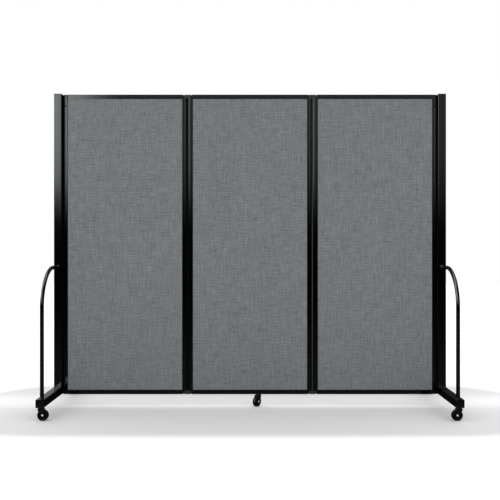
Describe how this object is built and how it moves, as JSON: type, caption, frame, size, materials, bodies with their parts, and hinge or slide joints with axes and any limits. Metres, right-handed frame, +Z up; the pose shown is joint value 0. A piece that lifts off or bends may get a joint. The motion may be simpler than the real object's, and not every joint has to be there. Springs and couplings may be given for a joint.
{
  "type": "folding partition wall",
  "caption": "Free-standing folding partition wall: fabric panels in black frames, hinged side by side between arched end frames, rolling on swivel casters.",
  "frame": {"origin": "on the floor, under the middle of the open wall", "axes": "+X along the wall to its right, +Y towards its back, +Z up; the front faces -Y"},
  "size_m": [1.9242, 0.6156, 1.536],
  "materials": {
    "black_frame": "gloss powder coat on aluminium",
    "black_tube": "gloss powder coat on steel",
    "black_fork": "satin black coat on steel",
    "black_moulding": "fine satin moulding",
    "grey_fabric": "heathered woven panel cloth",
    "core_filler": "kraft honeycomb",
    "wheel_tread": "satin",
    "bright_steel": "bright zinc"
  },
  "bodies": {
    "middle_panel": {"middle_top_rail": "black_frame", "middle_bottom_rail": "black_frame", "middle_left_stile": "black_frame", "middle_right_stile": "black_frame", "middle_front_board": "grey_fabric", "middle_back_board": "grey_fabric", "middle_core": "core_filler", "middle_caster_socket": "black_moulding"},
    "left_hinge": {"left_hinge_top_block": "black_moulding", "left_hinge_bottom_block": "black_moulding", "left_hinge_spine": "black_moulding"},
    "left_panel": {"left_top_rail": "black_frame", "left_bottom_rail": "black_frame", "left_left_stile": "black_frame", "left_right_stile": "black_frame", "left_front_board": "grey_fabric", "left_back_board": "grey_fabric", "left_core": "core_filler"},
    "left_end_frame": {"left_post": "black_tube", "left_post_cap": "black_moulding", "left_leg": "black_tube", "left_front_leg_cap": "black_moulding", "left_rear_leg_cap": "black_moulding", "left_front_arch": "black_tube", "left_rear_arch": "black_tube", "left_hinge_strip": "black_moulding"},
    "right_hinge": {"right_hinge_top_block": "black_moulding", "right_hinge_bottom_block": "black_moulding", "right_hinge_spine": "black_moulding"},
    "right_panel": {"right_top_rail": "black_frame", "right_bottom_rail": "black_frame", "right_left_stile": "black_frame", "right_right_stile": "black_frame", "right_front_board": "grey_fabric", "right_back_board": "grey_fabric", "right_core": "core_filler"},
    "right_end_frame": {"right_post": "black_tube", "right_post_cap": "black_moulding", "right_leg": "black_tube", "right_front_leg_cap": "black_moulding", "right_rear_leg_cap": "black_moulding", "right_front_arch": "black_tube", "right_rear_arch": "black_tube", "right_hinge_strip": "black_moulding"},
    "middle_caster_swivel": {"middle_caster_fork": "black_fork", "middle_caster_axle": "bright_steel"},
    "middle_caster_roll": {"middle_caster_wheel": "wheel_tread"},
    "left_front_caster_swivel": {"left_front_caster_fork": "black_fork", "left_front_caster_axle": "bright_steel"},
    "left_front_caster_roll": {"left_front_caster_wheel": "wheel_tread"},
    "left_rear_caster_swivel": {"left_rear_caster_fork": "black_fork", "left_rear_caster_axle": "bright_steel"},
    "left_rear_caster_roll": {"left_rear_caster_wheel": "wheel_tread"},
    "right_front_caster_swivel": {"right_front_caster_fork": "black_fork", "right_front_caster_axle": "bright_steel"},
    "right_front_caster_roll": {"right_front_caster_wheel": "wheel_tread"},
    "right_rear_caster_swivel": {"right_rear_caster_fork": "black_fork", "right_rear_caster_axle": "bright_steel"},
    "right_rear_caster_roll": {"right_rear_caster_wheel": "wheel_tread"}
  },
  "joints": [
    {"name": "left_inner_fold", "type": "hinge", "parent": "middle_panel", "child": "left_hinge", "pos_m": [-0.2937, 0, 0.8], "axis": [0, 0, -1], "range_deg": [-90, 90]},
    {"name": "left_outer_fold", "type": "hinge", "parent": "left_hinge", "child": "left_panel", "pos_m": [-0.3207, 0, 0.8], "axis": [0, 0, -1], "range_deg": [-90, 90]},
    {"name": "left_end_turn", "type": "hinge", "parent": "left_panel", "child": "left_end_frame", "pos_m": [-0.9081, 0, 0.8], "axis": [0, 0, 1], "range_deg": [-90, 90]},
    {"name": "right_inner_fold", "type": "hinge", "parent": "middle_panel", "child": "right_hinge", "pos_m": [0.2937, 0, 0.8], "axis": [0, 0, -1], "range_deg": [-90, 90]},
    {"name": "right_outer_fold", "type": "hinge", "parent": "right_hinge", "child": "right_panel", "pos_m": [0.3207, 0, 0.8], "axis": [0, 0, -1], "range_deg": [-90, 90]},
    {"name": "right_end_turn", "type": "hinge", "parent": "right_panel", "child": "right_end_frame", "pos_m": [0.9081, 0, 0.8], "axis": [0, 0, 1], "range_deg": [-90, 90]},
    {"name": "middle_swivel", "type": "hinge", "parent": "middle_panel", "child": "middle_caster_swivel", "pos_m": [0.04, 0, 0.075], "axis": [0, 0, 1], "continuous": true},
    {"name": "middle_roll", "type": "hinge", "parent": "middle_caster_swivel", "child": "middle_caster_roll", "pos_m": [0.03384, -0.00788, 0.025], "axis": [0.788, -0.6157, 0], "continuous": true},
    {"name": "left_front_swivel", "type": "hinge", "parent": "left_end_frame", "child": "left_front_caster_swivel", "pos_m": [-0.94305, -0.2893, 0.075], "axis": [0, 0, 1], "continuous": true},
    {"name": "left_front_roll", "type": "hinge", "parent": "left_front_caster_swivel", "child": "left_front_caster_roll", "pos_m": [-0.93305, -0.2893, 0.025], "axis": [0, 1, 0], "continuous": true},
    {"name": "left_rear_swivel", "type": "hinge", "parent": "left_end_frame", "child": "left_rear_caster_swivel", "pos_m": [-0.94305, 0.2893, 0.075], "axis": [0, 0, 1], "continuous": true},
    {"name": "left_rear_roll", "type": "hinge", "parent": "left_rear_caster_swivel", "child": "left_rear_caster_roll", "pos_m": [-0.93305, 0.2893, 0.025], "axis": [0, 1, 0], "continuous": true},
    {"name": "right_front_swivel", "type": "hinge", "parent": "right_end_frame", "child": "right_front_caster_swivel", "pos_m": [0.94305, -0.2893, 0.075], "axis": [0, 0, 1], "continuous": true},
    {"name": "right_front_roll", "type": "hinge", "parent": "right_front_caster_swivel", "child": "right_front_caster_roll", "pos_m": [0.93305, -0.2893, 0.025], "axis": [0, -1, 0], "continuous": true},
    {"name": "right_rear_swivel", "type": "hinge", "parent": "right_end_frame", "child": "right_rear_caster_swivel", "pos_m": [0.94305, 0.2893, 0.075], "axis": [0, 0, 1], "continuous": true},
    {"name": "right_rear_roll", "type": "hinge", "parent": "right_rear_caster_swivel", "child": "right_rear_caster_roll", "pos_m": [0.93305, 0.2893, 0.025], "axis": [0, -1, 0], "continuous": true}
  ]
}
